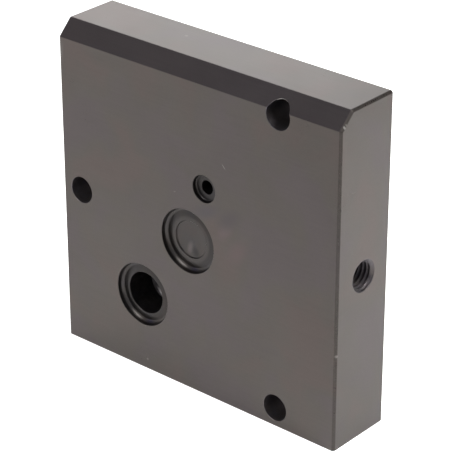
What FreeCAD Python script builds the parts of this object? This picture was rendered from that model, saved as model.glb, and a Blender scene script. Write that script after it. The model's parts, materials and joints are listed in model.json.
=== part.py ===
# Valve end plate: the closing section of a stack of hydraulic spool valves.
# One solid steel plate that stands on its bottom edge. Millimetres, +Z up.
# Origin: the middle of the bottom face. The sealing face looks along -Y and
# the tapped side port opens along +X.
import FreeCAD
import Part
import math
import os

Vector = FreeCAD.Vector

# Plate
plate_width = 110.6
plate_height = 110.0
plate_thickness = 24.25
stack_chamfer = 5.0          # 45 degrees, along the top edge of the sealing face
edge_break = 0.7             # 45 degrees, round both side faces and the top rear edge

# Tie rods: three plain holes right through, each placed from the nearest edges
tie_rod_hole = 8.8
tie_rod_left_margin = 8.0
tie_rod_right_margin = 22.95
tie_rod_bottom_margin = 6.3
tie_rod_top_margin = 6.7

# Gallery recesses in the sealing face. Each has a flat land round its middle;
# outside the land the floor falls gently to the rounded foot of the wall.
gallery_recess = 21.15
gallery_land_depth = 1.6
gallery_land = 14.6
gallery_floor_fall = 12.0    # degrees
gallery_corner = 1.05

# Pilot recess: a small counterbore with a flat floor and a rounded corner
pilot_recess = 8.85
pilot_recess_depth = 1.55
pilot_corner = 0.5

# Blanked gallery: its recess has no passage, only a shallow dished spot face.
# Centres are measured from the middle of the plate's width and from its base.
blank_x = -2.7
blank_z = 51.5
spot_face = 12.3
spot_face_step = 0.4
spot_face_dish = 0.25

# Return gallery: a blind bore with a drill point in the middle of its recess
return_x = -21.9
return_z = 26.3
return_bore = 13.95
return_bore_depth = 11.6     # below the sealing face, to the start of the drill point

# Pilot gallery: a small blind drilling in the middle of the small recess
pilot_x = 4.1
pilot_z = 71.3
pilot_bore = 4.4
pilot_bore_depth = 14.0      # below the sealing face, to the start of the drill point

# Side port, tapped M10 x 1.5: modelled at its tapping size
port_y = 0.2                 # behind the middle of the thickness
port_tap_drill = 8.5
port_drill_depth = 21.0      # to the start of the drill point
port_countersink = 10.4

drill_point_angle = 118.0

# Places that follow from the sizes above
front_y = -plate_thickness / 2
rear_y = plate_thickness / 2
left_x = -plate_width / 2
right_x = plate_width / 2
rod_left_x = left_x + tie_rod_left_margin
rod_right_x = right_x - tie_rod_right_margin
rod_low_z = tie_rod_bottom_margin
rod_high_z = plate_height - tie_rod_top_margin
rod_middle_z = (rod_low_z + rod_high_z) / 2

INTO_FACE = Vector(0, 1, 0)
INTO_SIDE = Vector(-1, 0, 0)
overrun = 1.0                # how far a cutter starts outside the face it enters


def plate_blank():
    """The bare plate: a chamfered section drawn in YZ and pushed along X."""
    section = Part.makePolygon([
        Vector(left_x, front_y, 0),
        Vector(left_x, rear_y, 0),
        Vector(left_x, rear_y, plate_height),
        Vector(left_x, front_y + stack_chamfer, plate_height),
        Vector(left_x, front_y, plate_height - stack_chamfer),
        Vector(left_x, front_y, 0),
    ])
    return Part.Face(section).extrude(Vector(plate_width, 0, 0))


def lies_in_side_face(edge):
    """True for an edge in the left or right face, other than a bottom edge."""
    centre = edge.CenterOfMass
    in_side = math.isclose(abs(centre.x), right_x, abs_tol=1e-6)
    return in_side and centre.z > 1e-6


def is_top_rear(edge):
    """True for the edge between the top and the rear face."""
    centre = edge.CenterOfMass
    at_rear = math.isclose(centre.y, rear_y, abs_tol=1e-6)
    at_top = math.isclose(centre.z, plate_height, abs_tol=1e-6)
    return at_rear and at_top


def turned_cutter(profile, mouth, direction):
    """A solid of revolution from (radius, depth) points, entering at mouth.

    The profile is drawn from the axis outwards and back, in the plane that
    holds the direction of entry, and turned once about that direction.
    """
    across = Vector(0, 0, 1)
    points = [mouth + across * radius + direction * depth for radius, depth in profile]
    face = Part.Face(Part.makePolygon(points + [points[0]]))
    return face.revolve(mouth, direction, 360)


def drill_point_height(diameter):
    """Height of the cone that a twist drill leaves at the bottom of a hole."""
    return diameter / 2 / math.tan(math.radians(drill_point_angle / 2))


def blind_drilling(diameter, depth, mouth, direction):
    """A drilled hole with a full-diameter stretch to depth and a drill point."""
    radius = diameter / 2
    tip = depth + drill_point_height(diameter)
    profile = [(0, -overrun), (radius, -overrun), (radius, depth), (0, tip)]
    return turned_cutter(profile, mouth, direction)


def tie_rod_cutter(x, z):
    """A plain cylinder that runs past both faces of the plate."""
    start = Vector(x, front_y - overrun, z)
    length = plate_thickness + 2 * overrun
    return Part.makeCylinder(tie_rod_hole / 2, length, start, INTO_FACE)


def gallery_recess_cutter(mouth):
    """A shallow turned recess: wall, rounded foot, sloping floor, flat land."""
    radius = gallery_recess / 2
    land = gallery_land / 2
    fall = math.radians(gallery_floor_fall)
    across = Vector(0, 0, 1)

    # The foot's arc touches the wall and the sloping floor
    arc_r = radius - gallery_corner
    slope_end_r = arc_r - gallery_corner * math.sin(fall)
    slope_end_depth = gallery_land_depth + (slope_end_r - land) * math.tan(fall)
    arc_depth = slope_end_depth - gallery_corner * math.cos(fall)

    def at(r, depth):
        return mouth + across * r + INTO_FACE * depth

    def on_arc(angle):
        return at(arc_r + gallery_corner * math.cos(angle), arc_depth + gallery_corner * math.sin(angle))

    arc_end = math.radians(90) + fall
    top_centre = at(0, -overrun)
    top_rim = at(radius, -overrun)
    wall_end = at(radius, arc_depth)
    slope_end = at(slope_end_r, slope_end_depth)
    land_rim = at(land, gallery_land_depth)
    land_centre = at(0, gallery_land_depth)
    outline = Part.Wire([
        Part.LineSegment(top_centre, top_rim).toShape(),
        Part.LineSegment(top_rim, wall_end).toShape(),
        Part.Arc(wall_end, on_arc(arc_end / 2), slope_end).toShape(),
        Part.LineSegment(slope_end, land_rim).toShape(),
        Part.LineSegment(land_rim, land_centre).toShape(),
        Part.LineSegment(land_centre, top_centre).toShape(),
    ])
    return Part.Face(outline).revolve(mouth, INTO_FACE, 360)


def pilot_recess_cutter(mouth):
    """A small counterbore with a flat floor and a rounded corner."""
    radius = pilot_recess / 2
    across = Vector(0, 0, 1)

    def at(r, depth):
        return mouth + across * r + INTO_FACE * depth

    diagonal = pilot_corner * math.sin(math.radians(45))
    top_centre = at(0, -overrun)
    top_rim = at(radius, -overrun)
    wall_end = at(radius, pilot_recess_depth - pilot_corner)
    arc_middle = at(radius - pilot_corner + diagonal, pilot_recess_depth - pilot_corner + diagonal)
    floor_start = at(radius - pilot_corner, pilot_recess_depth)
    floor_centre = at(0, pilot_recess_depth)
    outline = Part.Wire([
        Part.LineSegment(top_centre, top_rim).toShape(),
        Part.LineSegment(top_rim, wall_end).toShape(),
        Part.Arc(wall_end, arc_middle, floor_start).toShape(),
        Part.LineSegment(floor_start, floor_centre).toShape(),
        Part.LineSegment(floor_centre, top_centre).toShape(),
    ])
    return Part.Face(outline).revolve(mouth, INTO_FACE, 360)


def spot_face_cutter(mouth):
    """The shallow step in the blanked recess, dished towards its middle."""
    radius = spot_face / 2
    wall = gallery_land_depth + spot_face_step
    profile = [(0, 0), (radius, 0), (radius, wall), (0, wall + spot_face_dish)]
    return turned_cutter(profile, mouth, INTO_FACE)


def port_countersink_cutter(mouth):
    """The 90 degree lead-in cone at the mouth of the side port."""
    rim = port_countersink / 2
    start = rim + overrun
    profile = [(0, -overrun), (start, -overrun), (0, rim)]
    return turned_cutter(profile, mouth, INTO_SIDE)


def cutters():
    """Every opening of the plate, in the order in which it would be machined."""
    blank_mouth = Vector(blank_x, front_y, blank_z)
    return_mouth = Vector(return_x, front_y, return_z)
    pilot_mouth = Vector(pilot_x, front_y, pilot_z)
    port_mouth = Vector(right_x, port_y, rod_middle_z)
    return [
        tie_rod_cutter(rod_left_x, rod_middle_z),
        tie_rod_cutter(rod_right_x, rod_low_z),
        tie_rod_cutter(rod_right_x, rod_high_z),
        gallery_recess_cutter(blank_mouth),
        spot_face_cutter(blank_mouth),
        gallery_recess_cutter(return_mouth),
        blind_drilling(return_bore, return_bore_depth, return_mouth, INTO_FACE),
        pilot_recess_cutter(pilot_mouth),
        blind_drilling(pilot_bore, pilot_bore_depth, pilot_mouth, INTO_FACE),
        blind_drilling(port_tap_drill, port_drill_depth, port_mouth, INTO_SIDE),
        port_countersink_cutter(port_mouth),
    ]


def end_plate():
    """The finished plate as one solid."""
    blank = plate_blank()
    broken = [edge for edge in blank.Edges if lies_in_side_face(edge) or is_top_rear(edge)]
    plate = blank.makeChamfer(edge_break, broken)
    for cutter in cutters():
        plate = plate.cut(cutter)
    return plate.Solids[0]


os.makedirs("parts", exist_ok=True)
solid = end_plate()
solid.exportStep("parts/end_plate.step")
box = solid.BoundBox
print("end_plate valid", solid.isValid(), "volume", round(solid.Volume, 1))
print("size", round(box.XLength, 3), round(box.YLength, 3), round(box.ZLength, 3))
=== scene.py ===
import bpy
import bmesh
import json
import math
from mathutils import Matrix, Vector


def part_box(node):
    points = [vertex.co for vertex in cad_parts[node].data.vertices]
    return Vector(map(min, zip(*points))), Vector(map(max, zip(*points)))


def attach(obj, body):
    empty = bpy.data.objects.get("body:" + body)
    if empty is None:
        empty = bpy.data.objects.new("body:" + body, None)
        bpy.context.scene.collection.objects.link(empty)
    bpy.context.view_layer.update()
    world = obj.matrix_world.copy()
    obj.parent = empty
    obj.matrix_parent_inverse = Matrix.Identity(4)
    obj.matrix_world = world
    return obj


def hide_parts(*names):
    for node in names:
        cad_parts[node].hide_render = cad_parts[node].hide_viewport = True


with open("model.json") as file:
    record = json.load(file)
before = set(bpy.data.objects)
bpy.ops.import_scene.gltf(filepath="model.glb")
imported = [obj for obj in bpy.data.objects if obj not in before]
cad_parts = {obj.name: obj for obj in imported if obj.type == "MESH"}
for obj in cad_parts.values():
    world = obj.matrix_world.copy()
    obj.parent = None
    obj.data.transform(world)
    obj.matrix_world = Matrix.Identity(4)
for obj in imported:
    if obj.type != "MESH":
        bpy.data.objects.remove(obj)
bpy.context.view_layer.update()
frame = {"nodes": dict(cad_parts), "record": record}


# Paper sheet
# The plate stands on a wide sheet of white paper, laid flat on a table. Seen
# straight on, and in the steel, the paper is plain white. The light that it
# gives back to the plate is that of matt paper under the lamps.
PAPER_HALF_WIDTH = 6.0
PAPER_SHADE = (0.7, 0.7, 0.7, 1.0)
PAPER_GLOW = 0.88


def new_node(tree, kind, **settings):
    node = tree.nodes.new(kind)
    for name, value in settings.items():
        setattr(node, name, value)
    return node


def math_node(tree, operation, first, second=None, third=None):
    node = new_node(tree, "ShaderNodeMath", operation=operation)
    for slot, value in enumerate((first, second, third)):
        if value is None:
            continue
        if isinstance(value, (int, float)):
            node.inputs[slot].default_value = value
        else:
            tree.links.new(value, node.inputs[slot])
    return node.outputs[0]


paper_data = bpy.data.meshes.new("paper_sheet")
paper_data.from_pydata(
    [(-PAPER_HALF_WIDTH, -PAPER_HALF_WIDTH, 0), (PAPER_HALF_WIDTH, -PAPER_HALF_WIDTH, 0),
     (PAPER_HALF_WIDTH, PAPER_HALF_WIDTH, 0), (-PAPER_HALF_WIDTH, PAPER_HALF_WIDTH, 0)],
    [], [(0, 1, 2, 3)])
paper_sheet = bpy.data.objects.new("paper_sheet", paper_data)
bpy.context.scene.collection.objects.link(paper_sheet)

paper = bpy.data.materials.new("white_paper")
paper.use_nodes = True
tree = paper.node_tree
tree.nodes.clear()
matt = new_node(tree, "ShaderNodeBsdfDiffuse")
matt.inputs["Color"].default_value = PAPER_SHADE
glow = new_node(tree, "ShaderNodeEmission")
glow.inputs["Strength"].default_value = PAPER_GLOW
lit_sheet = new_node(tree, "ShaderNodeAddShader")
ray = new_node(tree, "ShaderNodeLightPath")
seen = math_node(tree, "MAXIMUM", ray.outputs["Is Camera Ray"], ray.outputs["Is Glossy Ray"])
seen = math_node(tree, "MAXIMUM", seen, ray.outputs["Is Transmission Ray"])
choice = new_node(tree, "ShaderNodeMixShader")
surface = new_node(tree, "ShaderNodeOutputMaterial")
tree.links.new(matt.outputs[0], lit_sheet.inputs[0])
tree.links.new(glow.outputs[0], lit_sheet.inputs[1])
tree.links.new(seen, choice.inputs[0])
tree.links.new(matt.outputs[0], choice.inputs[1])
tree.links.new(lit_sheet.outputs[0], choice.inputs[2])
tree.links.new(choice.outputs[0], surface.inputs["Surface"])
paper_data.materials.append(paper)


# Studio light
# Soft boxes stand behind the plate to the left, over it and in front, with a
# weak fill on the right, and a narrow one washes the paper behind it. The room
# itself is dim, so the steel shows dark where it looks past them.
ROOM_STRENGTH = 0.44
ROOM_COLOUR = (1.0, 0.985, 0.99, 1)

room = bpy.data.worlds.new("dim_room")
room.use_nodes = True
walls = room.node_tree.nodes["Background"]
walls.inputs["Color"].default_value = ROOM_COLOUR
walls.inputs["Strength"].default_value = ROOM_STRENGTH
bpy.context.scene.world = room


def softbox(name, place, target, width, height, radiance, beam=180):
    """A rectangular lamp that faces a target; its beam is narrowed in degrees."""
    data = bpy.data.lights.new(name, "AREA")
    data.shape = "RECTANGLE"
    data.size = width
    data.size_y = height
    data.energy = radiance * width * height * math.pi
    data.spread = math.radians(beam)
    lamp = bpy.data.objects.new(name, data)
    bpy.context.scene.collection.objects.link(lamp)
    lamp.location = place
    lamp.rotation_euler = (Vector(target) - Vector(place)).to_track_quat("-Z", "Y").to_euler()
    lamp.visible_camera = False


PLATE_MIDDLE = (0, 0, 0.05)
softbox("back_left_softbox", (-1.10, 0.975, 0.85), PLATE_MIDDLE, 0.9, 0.8, radiance=2.35)
softbox("overhead_softbox", (-0.05, -0.10, 1.35), (0, 0, 0), 0.7, 0.6, radiance=2.6)
softbox("front_softbox", (-0.17, -0.97, 0.82), PLATE_MIDDLE, 0.5, 0.4, radiance=7.0)
softbox("right_fill", (1.30, -0.49, 0.92), PLATE_MIDDLE, 0.7, 0.6, radiance=0.5)
softbox("paper_wash", (0.55, 0.15, 0.75), (0.15, 0.12, 0), 0.3, 0.3, radiance=2.3, beam=36)

bpy.context.scene.view_settings.view_transform = "Standard"


# Camera
# A long lens looks down on the plate from the front right, as in the
# photograph, so its edges run almost parallel.
LENS_MM = 173.25
SENSOR_MM = 36.0
NEAREST_SEEN = 0.01
FARTHEST_SEEN = 50.0
CAMERA_PLACE = (0.3914, -0.4498, 0.3542)
CAMERA_TURN_DEGREES = (63.2, 0.05, 40.83)

camera_data = bpy.data.cameras.new("camera")
camera_data.lens = LENS_MM
camera_data.sensor_width = SENSOR_MM
camera_data.clip_start = NEAREST_SEEN
camera_data.clip_end = FARTHEST_SEEN
camera = bpy.data.objects.new("camera", camera_data)
bpy.context.scene.collection.objects.link(camera)
camera.location = CAMERA_PLACE
camera.rotation_euler = [math.radians(turn) for turn in CAMERA_TURN_DEGREES]
bpy.context.scene.camera = camera


# End plate
# A block of steel, milled on all sides, drilled for three tie rods and turned
# out for its seals. The CAD solid gives the shape. A file has only taken the
# sharpness off its edges, so each one gets a narrow flat.
FILED_EDGE = 0.00012
FILED_OVER = math.radians(30)
MERGE_WITHIN = 2e-6
FLAT_WITHIN = math.radians(0.2)
SMOOTH_UNDER = math.radians(25)

plate_low, plate_high = [Vector(corner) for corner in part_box("end_plate")]
half_width = plate_high.x
half_thickness = plate_high.y
plate_height = plate_high.z

plate_data = frame["nodes"]["end_plate"].data.copy()
shape = bmesh.new()
shape.from_mesh(plate_data)
bmesh.ops.remove_doubles(shape, verts=shape.verts, dist=MERGE_WITHIN)
bmesh.ops.dissolve_limit(
    shape, angle_limit=FLAT_WITHIN, verts=shape.verts, edges=shape.edges)
sharp_edges = [edge for edge in shape.edges
               if edge.is_manifold and edge.calc_face_angle() > FILED_OVER]
bmesh.ops.bevel(
    shape, geom=sharp_edges, offset=FILED_EDGE, offset_type="OFFSET", segments=1,
    profile=0.5, affect="EDGES", clamp_overlap=True)
plate_data.clear_geometry()
for name in [layer.name for layer in plate_data.attributes if layer.name == "custom_normal"]:
    plate_data.attributes.remove(plate_data.attributes[name])
shape.to_mesh(plate_data)
shape.free()
plate = bpy.data.objects.new("end_plate_machined", plate_data)
bpy.context.scene.collection.objects.link(plate)


# Port thread
# The side port is tapped M10 x 1.5, right-handed. The teeth of the tap are one
# helical ridge, wound by rule from the pitch and the diameters, and the steel
# that they would take out is cut from the wall of the tapping hole.
PORT = next(mount for mount in frame["record"]["mounts"] if mount["name"] == "side_port")
THREAD_PITCH = 0.0015
THREAD_ROOT_RADIUS = 0.005
TOOTH_FOOT_RADIUS = 0.0041
TOOTH_TIP_FLAT = THREAD_PITCH / 8
TOOTH_HEIGHT = THREAD_ROOT_RADIUS - TOOTH_FOOT_RADIUS
TOOTH_FLANK_ANGLE = math.radians(30)
TOOTH_FOOT_WIDTH = TOOTH_TIP_FLAT + 2 * TOOTH_HEIGHT * math.tan(TOOTH_FLANK_ANGLE)
THREAD_TURNS = 12.5
STEPS_PER_TURN = 48
THREAD_LEAD_IN = 0.0009
THREAD_START_ANGLE = math.radians(215)

drilled_steel = bpy.data.materials.new("drilled_steel")

tap_tree = bpy.data.node_groups.new("tap_teeth", "GeometryNodeTree")
tap_sizes = {
    "Pitch": THREAD_PITCH,
    "Turns": THREAD_TURNS,
    "Foot Radius": TOOTH_FOOT_RADIUS,
    "Tooth Height": TOOTH_HEIGHT,
    "Tip Flat": TOOTH_TIP_FLAT,
    "Foot Width": TOOTH_FOOT_WIDTH,
    "Start Angle": THREAD_START_ANGLE,
    "Mouth X": half_width + THREAD_LEAD_IN,
    "Mouth Y": PORT["pos_m"][1],
    "Mouth Z": PORT["pos_m"][2],
}
tap_sockets = {}
for name, size in tap_sizes.items():
    tap_sockets[name] = tap_tree.interface.new_socket(
        name, in_out="INPUT", socket_type="NodeSocketFloat")
    tap_sockets[name].default_value = size
tap_tree.interface.new_socket(
    "Geometry", in_out="OUTPUT", socket_type="NodeSocketGeometry")
sizes = new_node(tap_tree, "NodeGroupInput")
helix = new_node(tap_tree, "GeometryNodeCurveSpiral")
helix.inputs["Resolution"].default_value = STEPS_PER_TURN
helix.inputs["Reverse"].default_value = True
tap_tree.links.new(sizes.outputs["Turns"], helix.inputs["Rotations"])
tap_tree.links.new(sizes.outputs["Foot Radius"], helix.inputs["Start Radius"])
tap_tree.links.new(sizes.outputs["Foot Radius"], helix.inputs["End Radius"])
length = math_node(tap_tree, "MULTIPLY", sizes.outputs["Pitch"], sizes.outputs["Turns"])
tap_tree.links.new(length, helix.inputs["Height"])
upright = new_node(tap_tree, "GeometryNodeSetCurveNormal", mode="Z_UP")
tap_tree.links.new(helix.outputs["Curve"], upright.inputs["Curve"])
tooth = new_node(tap_tree, "GeometryNodeCurvePrimitiveQuadrilateral", mode="POINTS")
corners = (
    ("Foot Width", 0.5, 0.0), ("Foot Width", -0.5, 0.0),
    ("Tip Flat", -0.5, 1.0), ("Tip Flat", 0.5, 1.0))
for number, (width_name, side, rise) in enumerate(corners, 1):
    corner = new_node(tap_tree, "ShaderNodeCombineXYZ")
    across = math_node(tap_tree, "MULTIPLY", sizes.outputs[width_name], side)
    outward = math_node(tap_tree, "MULTIPLY", sizes.outputs["Tooth Height"], rise)
    tap_tree.links.new(outward, corner.inputs["X"])
    tap_tree.links.new(across, corner.inputs["Y"])
    tap_tree.links.new(corner.outputs[0], tooth.inputs[f"Point {number}"])
ridge = new_node(tap_tree, "GeometryNodeCurveToMesh")
ridge.inputs["Fill Caps"].default_value = True
tap_tree.links.new(upright.outputs["Curve"], ridge.inputs["Curve"])
tap_tree.links.new(tooth.outputs["Curve"], ridge.inputs["Profile Curve"])
start = new_node(tap_tree, "GeometryNodeTransform")
start_turn = new_node(tap_tree, "ShaderNodeCombineXYZ")
tap_tree.links.new(sizes.outputs["Start Angle"], start_turn.inputs["Z"])
tap_tree.links.new(ridge.outputs["Mesh"], start.inputs["Geometry"])
tap_tree.links.new(start_turn.outputs[0], start.inputs["Rotation"])
into_side = new_node(tap_tree, "GeometryNodeTransform")
into_side.inputs["Rotation"].default_value = (0, -math.pi / 2, 0)
mouth = new_node(tap_tree, "ShaderNodeCombineXYZ")
for axis in "XYZ":
    tap_tree.links.new(sizes.outputs[f"Mouth {axis}"], mouth.inputs[axis])
tap_tree.links.new(start.outputs["Geometry"], into_side.inputs["Geometry"])
tap_tree.links.new(mouth.outputs[0], into_side.inputs["Translation"])
whole = new_node(tap_tree, "GeometryNodeRealizeInstances")
tap_tree.links.new(into_side.outputs["Geometry"], whole.inputs[0])
finish = new_node(tap_tree, "GeometryNodeSetMaterial")
finish.inputs["Material"].default_value = drilled_steel
tap_tree.links.new(whole.outputs[0], finish.inputs["Geometry"])
result = new_node(tap_tree, "NodeGroupOutput")
tap_tree.links.new(finish.outputs["Geometry"], result.inputs["Geometry"])


def evaluated_mesh(thing):
    """A new mesh of an object as its modifiers leave it."""
    state = bpy.context.evaluated_depsgraph_get()
    return bpy.data.meshes.new_from_object(thing.evaluated_get(state))


tap_blank = bpy.data.objects.new("tap_blank", bpy.data.meshes.new("tap_blank"))
bpy.context.scene.collection.objects.link(tap_blank)
winding = tap_blank.modifiers.new("tap_teeth", "NODES")
winding.node_group = tap_tree
for name, size in tap_sizes.items():
    winding[tap_sockets[name].identifier] = size
tap_data = evaluated_mesh(tap_blank)
shape = bmesh.new()
shape.from_mesh(tap_data)
bmesh.ops.recalc_face_normals(shape, faces=shape.faces)
shape.to_mesh(tap_data)
shape.free()
bpy.data.objects.remove(tap_blank)
tap = bpy.data.objects.new("tap", tap_data)
bpy.context.scene.collection.objects.link(tap)

tapping = plate.modifiers.new("tapping", "BOOLEAN")
tapping.operation = "DIFFERENCE"
tapping.solver = "EXACT"
tapping.object = tap
bpy.context.view_layer.update()
tapped_data = evaluated_mesh(plate)
plate.modifiers.clear()
plate.data = tapped_data
bpy.data.meshes.remove(plate_data)
plate_data = tapped_data
plate_data.name = "end_plate_machined"
bpy.data.objects.remove(tap)
bpy.data.meshes.remove(tap_data)


# Oxide finish
# The whole plate is dipped in a hot oxide bath, which leaves a thin dark coat
# with faint brown and violet clouds. The coat follows the tool marks: straight
# on the milled faces, round in the recesses, and it is rubbed thin at edges.
SEAL_MOUTH_Y = plate_low.y
BLANK_CENTRE = Vector((-0.0027, SEAL_MOUTH_Y, 0.0515))
RETURN_CENTRE = Vector((-0.0219, SEAL_MOUTH_Y, 0.0263))
PILOT_CENTRE = Vector((0.0041, SEAL_MOUTH_Y, 0.0713))
GALLERY_RIM_RADIUS = 0.010575
RETURN_BORE_RADIUS = 0.006975
PILOT_RIM_RADIUS = 0.004425
PILOT_BORE_RADIUS = 0.0022
RECESS_DEPTH_LIMIT = 0.0026
PORT_MOUTH_RADIUS = 0.0053
ROD_HIGH = next(mount for mount in frame["record"]["mounts"] if mount["name"] == "tie_rod_high")
CHAMFER_SIZE = 0.005
EDGE_BREAK = 0.0007


def group_tree(name, inputs, outputs):
    tree = bpy.data.node_groups.new(name, "ShaderNodeTree")
    for label, (kind, value) in inputs.items():
        socket = tree.interface.new_socket(label, in_out="INPUT", socket_type=kind)
        if value is not None:
            socket.default_value = value
    for label, kind in outputs.items():
        tree.interface.new_socket(label, in_out="OUTPUT", socket_type=kind)
    return tree, new_node(tree, "NodeGroupInput"), new_node(tree, "NodeGroupOutput")


def vector_node(tree, operation, first, second=None):
    node = new_node(tree, "ShaderNodeVectorMath", operation=operation)
    for slot, value in enumerate((first, second)):
        if value is None:
            continue
        if isinstance(value, (tuple, list, Vector)):
            node.inputs[slot].default_value = value
        else:
            tree.links.new(value, node.inputs[slot])
    return node


def noise_node(tree, vector, scale, detail, roughness=0.55, distortion=0.0):
    node = new_node(tree, "ShaderNodeTexNoise")
    tree.links.new(vector, node.inputs["Vector"])
    settings = (("Scale", scale), ("Detail", detail), ("Roughness", roughness),
                ("Distortion", distortion))
    for label, value in settings:
        if isinstance(value, (int, float)):
            node.inputs[label].default_value = value
        else:
            tree.links.new(value, node.inputs[label])
    return node.outputs["Fac"]


def range_node(tree, value, from_low, from_high, to_low, to_high, smooth=False):
    node = new_node(tree, "ShaderNodeMapRange", clamp=True)
    node.interpolation_type = "SMOOTHSTEP" if smooth else "LINEAR"
    tree.links.new(value, node.inputs["Value"])
    settings = (("From Min", from_low), ("From Max", from_high),
                ("To Min", to_low), ("To Max", to_high))
    for label, number in settings:
        if isinstance(number, (int, float)):
            node.inputs[label].default_value = number
        else:
            tree.links.new(number, node.inputs[label])
    return node.outputs["Result"]


# Clouds of the oxide coat: broad lighter and darker areas, fine grain, and a
# slow drift between brown and violet.
clouds_tree, given, gives = group_tree(
    "oxide_clouds",
    {"Position": ("NodeSocketVector", None), "Cloud Scale": ("NodeSocketFloat", 55.0),
     "Grain Scale": ("NodeSocketFloat", 2600.0)},
    {"Clouds": "NodeSocketFloat", "Grain": "NodeSocketFloat", "Drift": "NodeSocketFloat"})
here, cloud_scale = given.outputs["Position"], given.outputs["Cloud Scale"]
elsewhere = vector_node(clouds_tree, "ADD", here, (0.31, 0.17, 0.23)).outputs[0]
broad = noise_node(clouds_tree, here, cloud_scale, 5.0, 0.58, 0.6)
fine = noise_node(clouds_tree, here, given.outputs["Grain Scale"], 3.0, 0.6)
slow = noise_node(clouds_tree, elsewhere, cloud_scale, 3.0, 0.5, 0.4)
for noise, low_end, high_end, label in (
        (broad, 0.3, 0.7, "Clouds"), (fine, 0.25, 0.75, "Grain"), (slow, 0.35, 0.65, "Drift")):
    either_way = range_node(clouds_tree, noise, low_end, high_end, -1.0, 1.0)
    clouds_tree.links.new(either_way, gives.inputs[label])

# Straight tool marks: fine lines left by the face mill, long in one direction.
milling_tree, given, gives = group_tree(
    "milling_lines",
    {"Position": ("NodeSocketVector", None),
     "Stretch": ("NodeSocketVector", (40.0, 1500.0, 1500.0))},
    {"Lines": "NodeSocketFloat"})
stretched = vector_node(
    milling_tree, "MULTIPLY", given.outputs["Position"], given.outputs["Stretch"])
lines = noise_node(milling_tree, stretched.outputs[0], 1.0, 4.0, 0.65)
either_way = range_node(milling_tree, lines, 0.3, 0.7, -1.0, 1.0)
milling_tree.links.new(either_way, gives.inputs["Lines"])

# Round tool marks: the spiral feed of a facing tool about a recess's centre.
turning_tree, given, gives = group_tree(
    "turning_lines",
    {"Position": ("NodeSocketVector", None), "Centre": ("NodeSocketVector", (0, 0, 0)),
     "Feed": ("NodeSocketFloat", 0.00022)},
    {"Lines": "NodeSocketFloat", "Radius": "NodeSocketFloat"})
offset = vector_node(turning_tree, "SUBTRACT", given.outputs["Position"], given.outputs["Centre"])
flat_offset = vector_node(turning_tree, "MULTIPLY", offset.outputs[0], (1, 0, 1))
radius = vector_node(turning_tree, "LENGTH", flat_offset.outputs[0]).outputs["Value"]
turns = math_node(turning_tree, "DIVIDE", radius, given.outputs["Feed"])
wave = math_node(turning_tree, "SINE", math_node(turning_tree, "MULTIPLY", turns, 2 * math.pi))
as_vector = new_node(turning_tree, "ShaderNodeCombineXYZ")
turning_tree.links.new(turns, as_vector.inputs["X"])
uneven = noise_node(turning_tree, as_vector.outputs[0], 0.45, 3.0, 0.6)
swell = range_node(turning_tree, uneven, 0.3, 0.7, -1.0, 1.0)
ringed = math_node(turning_tree, "MULTIPLY_ADD", wave, 0.5, swell)
turning_tree.links.new(ringed, gives.inputs["Lines"])
turning_tree.links.new(radius, gives.inputs["Radius"])

# Rubbed edges: how near a point lies to an outer edge of the plate. Of the
# distances to the three pairs of faces, the middle one is that to the edge.
wear_tree, given, gives = group_tree(
    "rubbed_edges",
    {"Position": ("NodeSocketVector", None), "Reach": ("NodeSocketFloat", 0.0012)},
    {"Rubbed": "NodeSocketFloat"})
place = new_node(wear_tree, "ShaderNodeSeparateXYZ")
wear_tree.links.new(given.outputs["Position"], place.inputs[0])
out_x = math_node(wear_tree, "ABSOLUTE", place.outputs["X"])
out_y = math_node(wear_tree, "ABSOLUTE", place.outputs["Y"])
from_side = math_node(wear_tree, "SUBTRACT", half_width, out_x)
from_face = math_node(wear_tree, "SUBTRACT", half_thickness, out_y)
from_top = math_node(wear_tree, "SUBTRACT", plate_height, place.outputs["Z"])
from_end = math_node(wear_tree, "MINIMUM", from_top, place.outputs["Z"])
low_pair = math_node(wear_tree, "MINIMUM", from_side, from_face)
high_pair = math_node(wear_tree, "MAXIMUM", from_side, from_face)
high_low = math_node(wear_tree, "MINIMUM", high_pair, from_end)
to_edge = math_node(wear_tree, "MAXIMUM", low_pair, high_low)
patchy = noise_node(wear_tree, given.outputs["Position"], 420.0, 4.0, 0.6)
patches = range_node(wear_tree, patchy, 0.35, 0.65, 0.35, 1.0)
near_edge = range_node(wear_tree, to_edge, 0.0, given.outputs["Reach"], 1.0, 0.0, smooth=True)
rub = math_node(wear_tree, "MULTIPLY", near_edge, patches)
wear_tree.links.new(rub, gives.inputs["Rubbed"])

# One oval mark, used both for wear and for painted light: a soft-edged oval
# about a centre, turned in its face.
mark_tree, given, gives = group_tree(
    "oval_mark_and_painted_light",
    {"Position": ("NodeSocketVector", None), "Centre": ("NodeSocketVector", (0, 0, 0)),
     "Half Size": ("NodeSocketVector", (0.001, 0.001, 0.001)),
     "Turn": ("NodeSocketVector", (0, 0, 0)),
     "Softness": ("NodeSocketFloat", 0.5)},
    {"Mark": "NodeSocketFloat"})
offset = vector_node(mark_tree, "SUBTRACT", given.outputs["Position"], given.outputs["Centre"])
turned = new_node(mark_tree, "ShaderNodeVectorRotate", rotation_type="EULER_XYZ")
mark_tree.links.new(offset.outputs[0], turned.inputs["Vector"])
mark_tree.links.new(given.outputs["Turn"], turned.inputs["Rotation"])
scaled = vector_node(mark_tree, "DIVIDE", turned.outputs[0])
mark_tree.links.new(given.outputs["Half Size"], scaled.inputs[1])
out_from_centre = vector_node(mark_tree, "LENGTH", scaled.outputs[0]).outputs["Value"]
core = math_node(mark_tree, "SUBTRACT", 1.0, given.outputs["Softness"])
oval = range_node(mark_tree, out_from_centre, core, 1.0, 1.0, 0.0, smooth=True)
mark_tree.links.new(oval, gives.inputs["Mark"])


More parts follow.
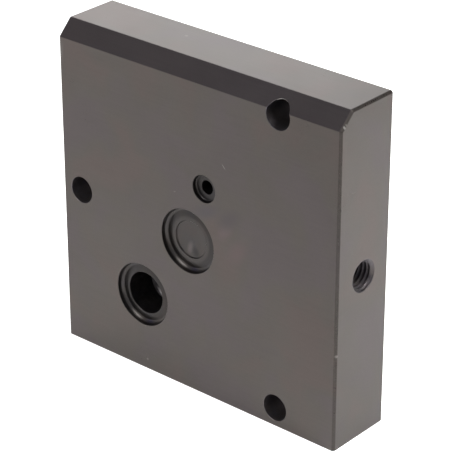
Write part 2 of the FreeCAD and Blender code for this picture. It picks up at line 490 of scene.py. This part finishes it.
def group_node(tree, group, position, **values):
    node = new_node(tree, "ShaderNodeGroup", node_tree=group)
    tree.links.new(position, node.inputs["Position"])
    for label, value in values.items():
        node.inputs[label.replace("_", " ")].default_value = value
    return node


def sum_of(tree, base, *weighted):
    total = base
    for value, weight in weighted:
        total = math_node(tree, "MULTIPLY_ADD", value, weight, total)
    return total


def tint_of(tree, drift, brown, plain, violet):
    ramp = new_node(tree, "ShaderNodeValToRGB")
    ramp.color_ramp.elements[0].color = brown
    ramp.color_ramp.elements[1].color = violet
    ramp.color_ramp.elements.new(0.5).color = plain
    tree.links.new(math_node(tree, "MULTIPLY_ADD", drift, 0.5, 0.5), ramp.inputs["Fac"])
    return ramp.outputs["Color"]


def shaded(tree, colour, level):
    three = new_node(tree, "ShaderNodeCombineXYZ")
    for axis in "XYZ":
        tree.links.new(level, three.inputs[axis])
    return vector_node(tree, "MULTIPLY", colour, three.outputs[0]).outputs[0]


def toward(tree, amount, colour, target):
    node = new_node(tree, "ShaderNodeMix", data_type="RGBA")
    tree.links.new(amount, node.inputs[0])
    tree.links.new(colour, node.inputs[6])
    node.inputs[7].default_value = target
    return node.outputs[2]


def bumped(tree, shader, height, distance):
    bump = new_node(tree, "ShaderNodeBump")
    bump.inputs["Distance"].default_value = distance
    tree.links.new(height, bump.inputs["Height"])
    tree.links.new(bump.outputs["Normal"], shader.inputs["Normal"])


# Milled faces. The coat is violet on the chamfer. Painted shade darkens the
# narrow flats at the front corners, and the colour is a little lighter towards
# the left.
CHAMFER_COAT = (0.0790, 0.0690, 0.0745, 1)
CHAMFER_RISE = plate_height + half_thickness - CHAMFER_SIZE

milled_steel = bpy.data.materials.new("milled_steel")
milled_steel.use_nodes = True
tree = milled_steel.node_tree
shader = tree.nodes["Principled BSDF"]
shader.inputs["Metallic"].default_value = 0.9
position = new_node(tree, "ShaderNodeTexCoord").outputs["Object"]
clouds = group_node(tree, clouds_tree, position)
milling = group_node(tree, milling_tree, position)
rubbed = group_node(tree, wear_tree, position).outputs["Rubbed"]
colour = tint_of(
    tree, clouds.outputs["Drift"],
    brown=(0.0800, 0.0662, 0.0612, 1), plain=(0.0750, 0.0670, 0.0612, 1),
    violet=(0.0758, 0.0655, 0.0648, 1))
spot = new_node(tree, "ShaderNodeSeparateXYZ")
tree.links.new(position, spot.inputs[0])
rise = math_node(tree, "SUBTRACT", spot.outputs["Z"], spot.outputs["Y"])
on_chamfer = range_node(tree, rise, CHAMFER_RISE - 0.0002, CHAMFER_RISE - 0.0001, 0.0, 0.75)
colour = toward(tree, on_chamfer, colour, CHAMFER_COAT)
side_depth = math_node(
    tree, "SUBTRACT", half_width, math_node(tree, "ABSOLUTE", spot.outputs["X"]))
front_depth = math_node(tree, "ADD", spot.outputs["Y"], half_thickness)
to_corner = math_node(tree, "ADD", side_depth, front_depth)
# painted shade on the narrow flats at the front corners
front_corner_painted_shade = range_node(tree, to_corner, EDGE_BREAK + 0.00004, EDGE_BREAK + 0.00016, 1.0, 0.0)
# the X term makes the colour a little lighter towards the left
level = sum_of(
    tree, 1.0, (clouds.outputs["Clouds"], 0.035), (clouds.outputs["Grain"], 0.045),
    (milling.outputs["Lines"], 0.03), (rubbed, 0.22), (front_corner_painted_shade, -0.35),
    (spot.outputs["X"], -1.1))
colour = shaded(tree, colour, level)
for centre, half_size, turn, softness, target in (
        # a hair scratch above the small recess
        ((0.01195, SEAL_MOUTH_Y, 0.08105), (0.0014, 0.0003, 0.00024), -0.84, 0.7,
         (0.155, 0.147, 0.14, 1)),
        # specks of bright steel
        ((-0.0202, SEAL_MOUTH_Y, 0.0035), (0.0006, 0.0003, 0.0005), 0.0, 0.7,
         (0.14, 0.13, 0.12, 1)),
        ((-0.0077, SEAL_MOUTH_Y, 0.0668), (0.0007, 0.0003, 0.0003), 0.5, 0.7,
         (0.115, 0.105, 0.10, 1)),
        ((-0.0169, 0.0042, plate_height), (0.0008, 0.0006, 0.0003), 0.0, 0.7,
         (0.125, 0.115, 0.11, 1)),
        ((half_width, -0.0117, 0.0327), (0.0009, 0.0008, 0.0007), 0.0, 0.7,
         (0.14, 0.13, 0.125, 1)),
        # the coat rubbed thin below the top left corner
        ((-half_width + 0.001, SEAL_MOUTH_Y, 0.0995), (0.006, 0.0003, 0.0012), 1.45, 0.9,
         (0.105, 0.096, 0.090, 1)),
        # smudges in the coat beside the blank recess
        ((0.0125, SEAL_MOUTH_Y, 0.0600), (0.006, 0.0003, 0.003), 0.9, 0.9,
         (0.092, 0.074, 0.073, 1)),
        ((0.0170, SEAL_MOUTH_Y, 0.0540), (0.008, 0.0003, 0.0045), 0.9, 0.9,
         (0.086, 0.068, 0.066, 1)),
        ((0.0140, SEAL_MOUTH_Y, 0.0640), (0.008, 0.0003, 0.0045), 0.6, 0.9,
         (0.066, 0.058, 0.058, 1)),
        ((0.0050, SEAL_MOUTH_Y, 0.0640), (0.008, 0.0003, 0.0035), 0.4, 0.9,
         (0.068, 0.061, 0.063, 1)),
        # residue beside the return recess
        ((-0.0316, SEAL_MOUTH_Y, 0.0235), (0.0006, 0.0003, 0.0018), -0.3, 0.8,
         (0.055, 0.049, 0.052, 1)),
        # nicks along the foot of the slanting edge
        ((half_width, -0.0099, 0.1065), (0.0005, 0.0004, 0.0006), 0.0, 0.8,
         (0.20, 0.19, 0.18, 1)),
        ((half_width, -0.0106, 0.1058), (0.0009, 0.0004, 0.0006), 0.0, 0.6,
         (0.36, 0.35, 0.34, 1))):
    mark = group_node(tree, mark_tree, position, Centre=centre, Half_Size=half_size,
                      Turn=(0, turn, 0), Softness=softness)
    colour = toward(tree, mark.outputs["Mark"], colour, target)
tree.links.new(colour, shader.inputs["Base Color"])
roughness = sum_of(
    tree, 0.30, (clouds.outputs["Clouds"], 0.02), (clouds.outputs["Grain"], 0.015),
    (rubbed, -0.04))
tree.links.new(roughness, shader.inputs["Roughness"])
relief = sum_of(tree, 0.0, (milling.outputs["Lines"], 0.6), (clouds.outputs["Grain"], 0.4))
bumped(tree, shader, relief, 0.0000012)

# Turned recesses. The colour is darker in a ring within each large recess and
# over the whole small recess.
turned_steel = bpy.data.materials.new("turned_steel")
turned_steel.use_nodes = True
tree = turned_steel.node_tree
shader = tree.nodes["Principled BSDF"]
shader.inputs["Metallic"].default_value = 0.86
position = new_node(tree, "ShaderNodeTexCoord").outputs["Object"]
clouds = group_node(tree, clouds_tree, position, Cloud_Scale=160.0)
ring_lines = None
darker = None
for centre, rim, dark_from, dark_to, amount in (
        (BLANK_CENTRE, GALLERY_RIM_RADIUS, 0.0072, 0.0092, 0.28),
        (RETURN_CENTRE, GALLERY_RIM_RADIUS, 0.0066, 0.0092, 0.32),
        (PILOT_CENTRE, PILOT_RIM_RADIUS, 0.0005, 0.0048, 0.33)):
    turning = group_node(tree, turning_tree, position, Centre=centre)
    inner = range_node(
        tree, turning.outputs["Radius"], dark_from, dark_from + 0.0005, 0.0, amount)
    outer = range_node(tree, turning.outputs["Radius"], dark_to, dark_to + 0.0004, 1.0, 0.0)
    groove = math_node(tree, "MULTIPLY", inner, outer)
    if ring_lines is None:
        ring_lines = turning.outputs["Lines"]
        darker = groove
        continue
    darker = math_node(tree, "MAXIMUM", darker, groove)
    within = math_node(tree, "LESS_THAN", turning.outputs["Radius"], rim + 0.0002)
    either = new_node(tree, "ShaderNodeMix", data_type="FLOAT")
    tree.links.new(within, either.inputs[0])
    tree.links.new(ring_lines, either.inputs[2])
    tree.links.new(turning.outputs["Lines"], either.inputs[3])
    ring_lines = either.outputs[0]
colour = tint_of(
    tree, clouds.outputs["Drift"],
    brown=(0.0525, 0.045, 0.0425, 1), plain=(0.0495, 0.045, 0.0428, 1),
    violet=(0.0480, 0.044, 0.0450, 1))
level = sum_of(
    tree, 1.0, (clouds.outputs["Clouds"], 0.05), (clouds.outputs["Grain"], 0.03),
    (ring_lines, 0.035), (darker, -1.0))
colour = shaded(tree, colour, level)
MARK_DEPTH = 0.0018
for around, angle, distance, half_size, target in (
        # a painted highlight and a painted shade in the spot face, standing in for
        # the sheen of its turning marks
        (BLANK_CENTRE, 257, 0.0032, (0.0034, 0.002, 0.0016), (0.084, 0.073, 0.072, 1)),
        (BLANK_CENTRE, 293, 0.0044, (0.0028, 0.002, 0.0019), (0.028, 0.026, 0.025, 1)),
        # a painted glint on the foot of each large recess, and a painted dark violet
        # reflection beside it
        (BLANK_CENTRE, 246, 0.0100, (0.0011, 0.002, 0.0034), (0.115, 0.105, 0.098, 1)),
        (RETURN_CENTRE, 246, 0.0100, (0.0011, 0.002, 0.0034), (0.115, 0.105, 0.098, 1)),
        (BLANK_CENTRE, 278, 0.0100, (0.0011, 0.002, 0.0026), (0.036, 0.032, 0.046, 1)),
        (RETURN_CENTRE, 278, 0.0100, (0.0011, 0.002, 0.0026), (0.036, 0.032, 0.046, 1))):
    at_angle = math.radians(angle)
    centre = around + Vector(
        (distance * math.cos(at_angle), MARK_DEPTH, distance * math.sin(at_angle)))
    mark = group_node(tree, mark_tree, position, Centre=centre, Half_Size=half_size,
                      Turn=(0, at_angle, 0), Softness=0.9)
    colour = toward(tree, mark.outputs["Mark"], colour, target)
tree.links.new(colour, shader.inputs["Base Color"])
roughness = sum_of(tree, 0.34, (clouds.outputs["Clouds"], 0.03), (ring_lines, 0.02))
tree.links.new(roughness, shader.inputs["Roughness"])
bumped(tree, shader, ring_lines, 0.0000022)

# Drilled holes, bores and the thread. Painted shade makes the two galleries black
# inside and the mouth of the port a little darker; the upper tie-rod hole is a
# little darker as well.
drilled_steel.use_nodes = True
tree = drilled_steel.node_tree
shader = tree.nodes["Principled BSDF"]
shader.inputs["Metallic"].default_value = 0.85
position = new_node(tree, "ShaderNodeTexCoord").outputs["Object"]
clouds = group_node(tree, clouds_tree, position, Cloud_Scale=220.0, Grain_Scale=3200.0)
drill_marks = group_node(tree, milling_tree, position, Stretch=(900.0, 900.0, 900.0))
colour = tint_of(
    tree, clouds.outputs["Drift"],
    brown=(0.138, 0.120, 0.117, 1), plain=(0.131, 0.118, 0.122, 1),
    violet=(0.126, 0.116, 0.130, 1))


def inside_hole(centre, hole_radius):
    """1 within a round hole along Y and on its wall, 0 outside."""
    reach = group_node(tree, turning_tree, position, Centre=centre).outputs["Radius"]
    return range_node(tree, reach, hole_radius + 0.0001, hole_radius + 0.0003, 1.0, 0.0)


# painted shade: the two gallery bores are blackened inside
painted_gallery_shade = math_node(
    tree, "MAXIMUM", inside_hole(RETURN_CENTRE, RETURN_BORE_RADIUS),
    inside_hole(PILOT_CENTRE, PILOT_BORE_RADIUS))
# the upper tie-rod hole is a little darker
upper_rod_hole_darkening = inside_hole(ROD_HIGH["pos_m"], ROD_HIGH["dims"]["r_mm"] / 1000 + 0.0001)
spot = new_node(tree, "ShaderNodeSeparateXYZ")
tree.links.new(position, spot.inputs[0])
# painted shade over the mouth of the port
port_mouth_painted_shade = range_node(
    tree, spot.outputs["X"], half_width - 0.0022, half_width - 0.0012, 0.0, 1.0)
level = sum_of(
    tree, 1.0, (clouds.outputs["Clouds"], 0.10), (clouds.outputs["Grain"], 0.05),
    (drill_marks.outputs["Lines"], 0.05), (painted_gallery_shade, -0.78), (port_mouth_painted_shade, -0.42),
    (upper_rod_hole_darkening, -0.32))
colour = shaded(tree, colour, level)
# a painted glint: a bright line at the bottom of the return bore
painted_bore_glint = group_node(
    tree, mark_tree, position, Centre=(-0.0254, 0.0001, 0.0213),
    Half_Size=(0.0026, 0.001, 0.0005), Turn=(0, -0.75, 0), Softness=0.8)
colour = toward(tree, painted_bore_glint.outputs["Mark"], colour, (0.16, 0.15, 0.15, 1))
tree.links.new(colour, shader.inputs["Base Color"])
roughness = sum_of(
    tree, 0.42, (clouds.outputs["Clouds"], 0.04), (drill_marks.outputs["Lines"], 0.03))
tree.links.new(roughness, shader.inputs["Roughness"])
relief = sum_of(tree, 0.0, (drill_marks.outputs["Lines"], 0.6), (clouds.outputs["Grain"], 0.4))
bumped(tree, shader, relief, 0.000003)

# Which face is milled, turned or drilled: the order of the steels on the plate,
# and how far a point may be from a face, a filed edge, a rim or a bore's wall.
MILLED, TURNED, DRILLED = 0, 1, 2
OFF_FACE = 2e-5
FILED_REACH = 1.5e-4
ON_RIM = 1e-4
ON_BORE = 2e-4


def off_axis(point, centre):
    return math.hypot(point.x - centre[0], point.z - centre[2])


def machined_as(point):
    """The finish at a point of the surface."""
    inside_faces = (SEAL_MOUTH_Y + OFF_FACE < point.y < half_thickness - FILED_REACH
                    and abs(point.x) < half_width - OFF_FACE
                    and OFF_FACE < point.z < plate_height - FILED_REACH)
    if not inside_faces:
        return MILLED
    depth = point.y - SEAL_MOUTH_Y
    for centre, rim, bore in ((BLANK_CENTRE, GALLERY_RIM_RADIUS, 0.0),
                              (RETURN_CENTRE, GALLERY_RIM_RADIUS, RETURN_BORE_RADIUS),
                              (PILOT_CENTRE, PILOT_RIM_RADIUS, PILOT_BORE_RADIUS)):
        reach = off_axis(point, centre)
        if depth < RECESS_DEPTH_LIMIT and reach < rim + ON_RIM:
            return TURNED
        if bore and reach < bore + ON_BORE:
            return DRILLED
    if math.hypot(point.y - PORT["pos_m"][1], point.z - PORT["pos_m"][2]) < PORT_MOUTH_RADIUS:
        return DRILLED
    for mount in frame["record"]["mounts"]:
        if mount["name"].startswith("tie_rod"):
            if off_axis(point, mount["pos_m"]) < mount["dims"]["r_mm"] / 1000 + ON_RIM:
                return DRILLED
    return MILLED


plate_data.materials.clear()
for steel in (milled_steel, turned_steel, drilled_steel):
    plate_data.materials.append(steel)
plate_data.set_sharp_from_angle(angle=SMOOTH_UNDER)
for polygon in plate_data.polygons:
    polygon.material_index = machined_as(polygon.center)
    polygon.use_smooth = polygon.material_index != MILLED

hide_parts("end_plate")
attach(plate, "root")


# Drill burr
# Where the upper right tie-rod hole breaks out through the chamfer, the drill
# has raised a fine burr along the rim. It is bare steel, rubbed bright.
BURR_FROM = math.radians(68)
BURR_TO = math.radians(118)
BURR_PEAK = math.radians(78)
BURR_HEIGHT = 0.00014
BURR_WIDTH = 0.00017
BURR_FOOT_DEPTH = 0.0001
BURR_STEPS = 40


def burr_section(angle):
    """Inner foot, tip and outer foot of the burr on the chamfer at one angle."""
    rim = ROD_HIGH["dims"]["r_mm"] / 1000
    far_end = BURR_TO if angle > BURR_PEAK else BURR_FROM
    fade = 1 - abs(angle - BURR_PEAK) / abs(far_end - BURR_PEAK)
    ragged = 1 + 0.35 * math.sin(angle * 61) + 0.2 * math.sin(angle * 143 + 1)
    height = BURR_HEIGHT * (0.12 + 0.88 * fade) * ragged
    width = BURR_WIDTH * (0.35 + 0.65 * fade)
    section = []
    for reach, lift in ((rim - 0.00004, -BURR_FOOT_DEPTH),
                        (rim + 0.2 * width, height),
                        (rim + width, -BURR_FOOT_DEPTH)):
        x = ROD_HIGH["pos_m"][0] + reach * math.cos(angle)
        z = ROD_HIGH["pos_m"][2] + reach * math.sin(angle)
        y = z - CHAMFER_RISE
        section.append((x, y - lift * math.sqrt(0.5), z + lift * math.sqrt(0.5)))
    return section


burr_points = []
for step in range(BURR_STEPS + 1):
    burr_points += burr_section(BURR_FROM + (BURR_TO - BURR_FROM) * step / BURR_STEPS)
burr_faces = [(0, 1, 2), (3 * BURR_STEPS + 2, 3 * BURR_STEPS + 1, 3 * BURR_STEPS)]
for step in range(BURR_STEPS):
    for side in range(3):
        here, there = 3 * step + side, 3 * step + (side + 1) % 3
        burr_faces.append((here, here + 3, there + 3, there))
burr_data = bpy.data.meshes.new("drill_burr")
burr_data.from_pydata(burr_points, [], burr_faces)
shape = bmesh.new()
shape.from_mesh(burr_data)
bmesh.ops.recalc_face_normals(shape, faces=shape.faces)
shape.to_mesh(burr_data)
shape.free()
burr = bpy.data.objects.new("drill_burr", burr_data)
bpy.context.scene.collection.objects.link(burr)

bare_steel = bpy.data.materials.new("bare_steel")
bare_steel.use_nodes = True
tree = bare_steel.node_tree
shader = tree.nodes["Principled BSDF"]
shader.inputs["Metallic"].default_value = 0.95
position = new_node(tree, "ShaderNodeTexCoord").outputs["Object"]
clouds = group_node(tree, clouds_tree, position, Cloud_Scale=900.0)
colour = tint_of(
    tree, clouds.outputs["Drift"],
    brown=(0.22, 0.20, 0.19, 1), plain=(0.25, 0.24, 0.23, 1), violet=(0.28, 0.27, 0.265, 1))
level = sum_of(tree, 1.0, (clouds.outputs["Clouds"], 0.25), (clouds.outputs["Grain"], 0.15))
tree.links.new(shaded(tree, colour, level), shader.inputs["Base Color"])
tree.links.new(sum_of(tree, 0.38, (clouds.outputs["Grain"], 0.05)), shader.inputs["Roughness"])
bumped(tree, shader, clouds.outputs["Grain"], 0.000002)
burr_data.materials.append(bare_steel)
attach(burr, "root")
